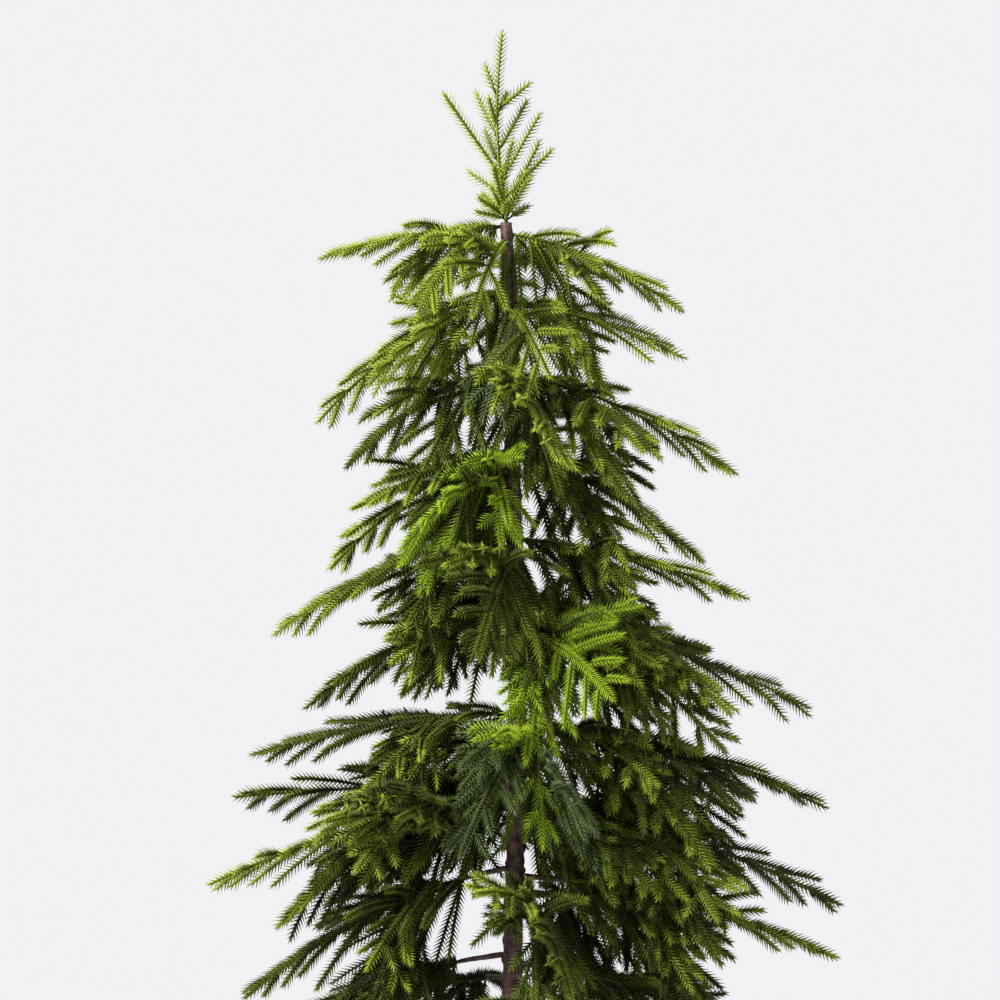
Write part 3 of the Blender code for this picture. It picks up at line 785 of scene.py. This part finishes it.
def barked(name, middle, radius, length, sides, rings, relief):
    """A closed limb of bark: a cone with many rings, moved on to its line and lifted into knobs."""
    bm = bmesh.new()
    bmesh.ops.create_cone(bm, cap_ends=True, segments=sides, radius1=1.0, radius2=1.0, depth=1.0)
    upright = [edge for edge in bm.edges if abs(edge.verts[0].co.z - edge.verts[1].co.z) > 0.5]
    bmesh.ops.subdivide_edges(bm, edges=upright, cuts=rings - 1, use_grid_fill=True)
    for corner in bm.verts:
        share = corner.co.z + 0.5
        turn = math.atan2(corner.co.y, corner.co.x)
        corner.co = relief(middle, radius, share, turn, length)
    return mesh_of(name, bm)


def collar(height, turn):
    """How far the bark swells here round the foot of a bough."""
    swell = 0.0
    for level, compass in BOUGH_FEET:
        rise = (height - level) / COLLAR_SIZE
        if abs(rise) > 2.5:
            continue
        apart = math.remainder(turn - compass, math.tau) * trunk_radius(level) / COLLAR_SIZE
        swell += math.exp(-rise * rise - apart * apart)
    return swell


def trunk_skin(middle, radius, share, turn, length):
    """A place on the trunk's skin, with rolling lumps, flakes and collars at the boughs."""
    height = TRUNK_FOOT + length * share
    round_place = Vector((math.cos(turn), math.sin(turn), 0.0))
    lumps = noise.noise(Vector((round_place.x * 1.1, round_place.y * 1.1, height * 48.0 + 3.0)))
    knobs = abs(noise.noise(Vector((round_place.x * 1.9, round_place.y * 1.9, height * 95.0)))) - 0.2
    flakes = noise.noise(Vector((round_place.x * 4.0, round_place.y * 4.0, height * 260.0 + 9.0)))
    ease = min(1.0, share * 60.0, (1.0 - share) * 60.0)
    relief = 0.0026 * lumps + 0.0052 * knobs + 0.0009 * flakes + 0.0018 * collar(height, turn)
    return middle(height) + round_place * (radius(height) - 0.0003 + ease * relief)


def build_trunk():
    """The barked trunk, which stands on the filling."""
    height = TRUNK_TOP - TRUNK_FOOT
    mesh = barked("trunk_bark", trunk_middle, trunk_radius, height, TRUNK_SIDES, TRUNK_RINGS, trunk_skin)
    bark = mottled("bark", (0.020, 0.008, 0.006), (0.165, 0.078, 0.062), 70.0, 700.0, 0.46, 0.0010)
    add_piece("trunk_bark", mesh, bark, "bark_pole", "trunk")
    return bark


def build_bare_boughs(bark):
    """The bare foot of each low bough, wrapped like the trunk."""
    for whorl, (height, rows) in enumerate(WHORLS, start=1):
        if whorl < BARE_FROM_WHORL:
            continue
        for order, row in enumerate(rows):
            bough = Bough(whorl, order, height, *row)
            line = bough.path(0.0, BARE_SHARE, 3)
            total = line_length(line)

            def middle(distance):
                return along(line, np.array([distance]))

            def skin(_middle, _radius, share, turn, length):
                places, ways, _ = along(line, np.array([share * length]))
                way = Vector(ways[0])
                across = square_to(Vector((0, 0, 1)), way)
                other = way.cross(across)
                direction = across * math.cos(turn) + other * math.sin(turn)
                radius = BOUGH_ROOT_RADIUS + (BOUGH_TIP_RADIUS - BOUGH_ROOT_RADIUS) * share
                bump = noise.noise(Vector(places[0]) * 240.0 + direction * 1.2)
                return Vector(places[0]) + direction * (radius - 0.0003 + 0.0005 * bump)

            name = "bark_bough_" + bough.name
            mesh = barked(name, middle, None, total, 16, 40, skin)
            add_piece(name, mesh, bark, "bough_wire", "bough_" + bough.name)


def build_pot():
    """The smooth tapered pot with its rounded rim band."""
    band = POT_HEIGHT - RIM_DEPTH
    outer = POT_RIM_RADIUS + RIM_PROUD
    floor = POT_WALL
    profile = (
        (0.0, 0.0),
        (POT_FOOT_RADIUS - 0.012, 0.0),
        (POT_FOOT_RADIUS - 0.005, 0.0004),
        (POT_FOOT_RADIUS - 0.0012, 0.002),
        (POT_FOOT_RADIUS + 0.0004, 0.006),
        (wall_radius(0.10), 0.10),
        (wall_radius(band - 0.003), band - 0.003),
        (wall_radius(band) + RIM_PROUD * 0.3, band + 0.0002),
        (wall_radius(band) + RIM_PROUD * 0.9, band + RIM_PROUD * 0.35),
        (wall_radius(band) + RIM_PROUD * 1.05, band + RIM_PROUD * 0.8),
        (outer - 0.0003, POT_HEIGHT - RIM_PROUD * 0.9),
        (outer - 0.0008, POT_HEIGHT - RIM_PROUD * 0.35),
        (outer - 0.0030, POT_HEIGHT - 0.0003),
        (POT_RIM_RADIUS - POT_WALL * 0.1, POT_HEIGHT),
        (POT_RIM_RADIUS - POT_WALL * 0.55, POT_HEIGHT - 0.0012),
        (POT_RIM_RADIUS - POT_WALL * 0.85, POT_HEIGHT - 0.005),
        (wall_radius(SOIL_TOP) - POT_WALL, SOIL_TOP),
        (wall_radius(floor) - POT_WALL, floor),
        (0.0, floor),
    )
    bm = bmesh.new()
    points = [bm.verts.new((radius, 0.0, height)) for radius, height in profile]
    edges = [bm.edges.new(pair) for pair in zip(points, points[1:])]
    bmesh.ops.spin(bm, geom=points + edges, axis=(0, 0, 1), cent=(0, 0, 0), steps=POT_STEPS,
                   angle=math.tau, use_merge=True)
    bmesh.ops.remove_doubles(bm, verts=bm.verts, dist=1e-5)
    mesh = mesh_of("pot_shell", bm)
    mesh.set_sharp_from_angle(angle=math.radians(50))
    plastic = mottled("pot_plastic", (0.020, 0.020, 0.021), (0.034, 0.034, 0.035), 9.0, 900.0, 0.46, 0.00012)
    add_piece("pot_shell", mesh, plastic, "pot_plastic", "pot")


def soil_level(place):
    """The height of the filling's crumbly top at this place."""
    out = math.hypot(place.x, place.y)
    edge = wall_radius(SOIL_TOP) - POT_WALL
    share = max(0.0, (out - 0.03) / (edge - 0.03))
    level = SOIL_TOP - SOIL_DISH * share ** 1.3 - 0.0006
    rough = noise.noise(place * 120.0) * 0.0016 + noise.noise(place * 320.0) * 0.0010
    return level + rough * min(1.0, share * 5.0) - 0.0006


def build_soil():
    """The filling with a crumbly top, and the chips that lie on it."""
    bm = bmesh.new()
    edge = SOIL_TOP - SOIL_DISH
    inset = POT_WALL + 3 * SEAT_GAP
    low = POT_WALL + SEAT_GAP
    top = [(radius, edge) for radius in np.linspace(wall_radius(edge) - inset - 0.0003, 0.0, 50)]
    profile = [(0.0, low), (wall_radius(low) - inset, low), (wall_radius(edge) - inset, edge - 0.004)] + top
    points = [bm.verts.new((radius, 0.0, height)) for radius, height in profile]
    edges = [bm.edges.new(pair) for pair in zip(points, points[1:])]
    bmesh.ops.spin(bm, geom=points + edges, axis=(0, 0, 1), cent=(0, 0, 0), steps=160,
                   angle=math.tau, use_merge=True)
    bmesh.ops.remove_doubles(bm, verts=bm.verts, dist=1e-5)
    for corner in bm.verts:
        if corner.co.z > edge - 0.001:
            corner.co.z = soil_level(corner.co)
    earth = mottled("filling", (0.012, 0.008, 0.006), (0.050, 0.034, 0.024), 60.0, 900.0, 0.95, 0.0010)
    add_piece("filling", mesh_of("filling", bm), earth, "soil_fill", "potting_soil")
    rng = random.Random("chips")
    bm = bmesh.new()
    for _ in range(CHIP_COUNT):
        out = math.sqrt(rng.uniform(0.034 ** 2, 0.120 ** 2))
        turn = rng.uniform(0, math.tau)
        size = rng.uniform(0.0022, 0.0052)
        place = Vector((out * math.cos(turn), out * math.sin(turn), 0.0))
        place.z = soil_level(place) + size * 0.12
        spin = Matrix.Rotation(rng.uniform(0, math.tau), 4, "Z")
        spin = spin @ Matrix.Rotation(rng.uniform(-0.5, 0.5), 4, "X")
        shape = Matrix.Diagonal((size * rng.uniform(1.0, 2.2), size, size * rng.uniform(0.35, 0.6), 1.0))
        lying = Matrix.Translation(place) @ spin @ shape
        bmesh.ops.create_icosphere(bm, subdivisions=1, radius=0.5, matrix=lying)
    chips = mottled("bark_chips", (0.030, 0.018, 0.011), (0.110, 0.066, 0.040), 90.0, 1200.0, 0.9, 0.0006)
    add_piece("bark_chips", mesh_of("bark_chips", bm, smooth=False), chips, "soil_fill")


# Studio

# Light and camera
CAMERA_PLACE = (-0.0075, -5.0, 1.422)
CAMERA_LENS = 120.0
LIGHT_AIM = (0.0, 0.0, 1.35)


def build_studio():
    """A pale floor, a large soft key from the upper left, a weak fill, an even pale world and the camera."""
    floor_mesh = bpy.data.meshes.new("studio_floor")
    bm = bmesh.new()
    bmesh.ops.create_circle(bm, cap_ends=True, segments=96, radius=4.0)
    bm.to_mesh(floor_mesh)
    bm.free()
    floor = bpy.data.objects.new("studio_floor", floor_mesh)
    pale = mottled("studio_floor", (0.78, 0.79, 0.80), (0.82, 0.83, 0.84), 3.0, 60.0, 0.9)
    floor_mesh.materials.append(pale)
    floor.location.z = -0.0005
    bpy.context.scene.collection.objects.link(floor)

    world = bpy.data.worlds.new("studio")
    bpy.context.scene.world = world
    world.use_nodes = True
    nodes, links = world.node_tree.nodes, world.node_tree.links
    shown = nodes["Background"]
    shown.inputs["Color"].default_value = (0.872, 0.880, 0.896, 1.0)
    ambient = nodes.new("ShaderNodeBackground")
    ambient.inputs["Color"].default_value = (0.97, 0.97, 0.96, 1.0)
    ambient.inputs["Strength"].default_value = 0.44
    sight = nodes.new("ShaderNodeLightPath")
    mix = nodes.new("ShaderNodeMixShader")
    links.new(sight.outputs["Is Camera Ray"], mix.inputs["Fac"])
    links.new(ambient.outputs["Background"], mix.inputs[1])
    links.new(shown.outputs["Background"], mix.inputs[2])
    links.new(mix.outputs["Shader"], nodes["World Output"].inputs["Surface"])

    for name, place, size, power in (
        ("key_light", (-2.7, -2.3, 3.5), 1.2, 242.0),
        ("fill_light", (2.6, -3.2, 2.4), 2.4, 26.0),
    ):
        light = bpy.data.lights.new(name, "AREA")
        light.size = size
        light.energy = power
        lamp = bpy.data.objects.new(name, light)
        lamp.location = place
        lamp.rotation_mode = "QUATERNION"
        lamp.rotation_quaternion = (Vector(LIGHT_AIM) - Vector(place)).to_track_quat("-Z", "Y")
        bpy.context.scene.collection.objects.link(lamp)

    camera = bpy.data.cameras.new("camera")
    camera.sensor_width = 36.0
    camera.lens = CAMERA_LENS
    viewer = bpy.data.objects.new("camera", camera)
    viewer.location = CAMERA_PLACE
    viewer.rotation_euler = (math.pi / 2, 0.0, 0.0)
    bpy.context.scene.collection.objects.link(viewer)
    bpy.context.scene.camera = viewer
    bpy.context.scene.view_settings.view_transform = "Standard"


def main():
    """Builds every piece round the frame."""
    bark = build_trunk()
    build_bare_boughs(bark)
    build_pot()
    build_soil()
    crown = Crown()
    for mass in build_masses():
        for spray in mass.sprays:
            kind = spray_kind(mass, spray)
            radius = STEM_RADIUS if spray is mass.stem else LATERAL_RADIUS
            crown.grow_spray(mass, spray, kind, LIGHTER[kind], radius)
        for spray in mass.fillers:
            kind = spray_kind(mass, spray)
            crown.grow_spray(mass, spray, kind, LIGHTER[kind], LATERAL_RADIUS, filler=True)
        kind = tuft_kind(mass)
        crown.grow_tufts(mass, kind, LIGHTER[kind])
    build_foliage(crown)
    build_studio()


main()
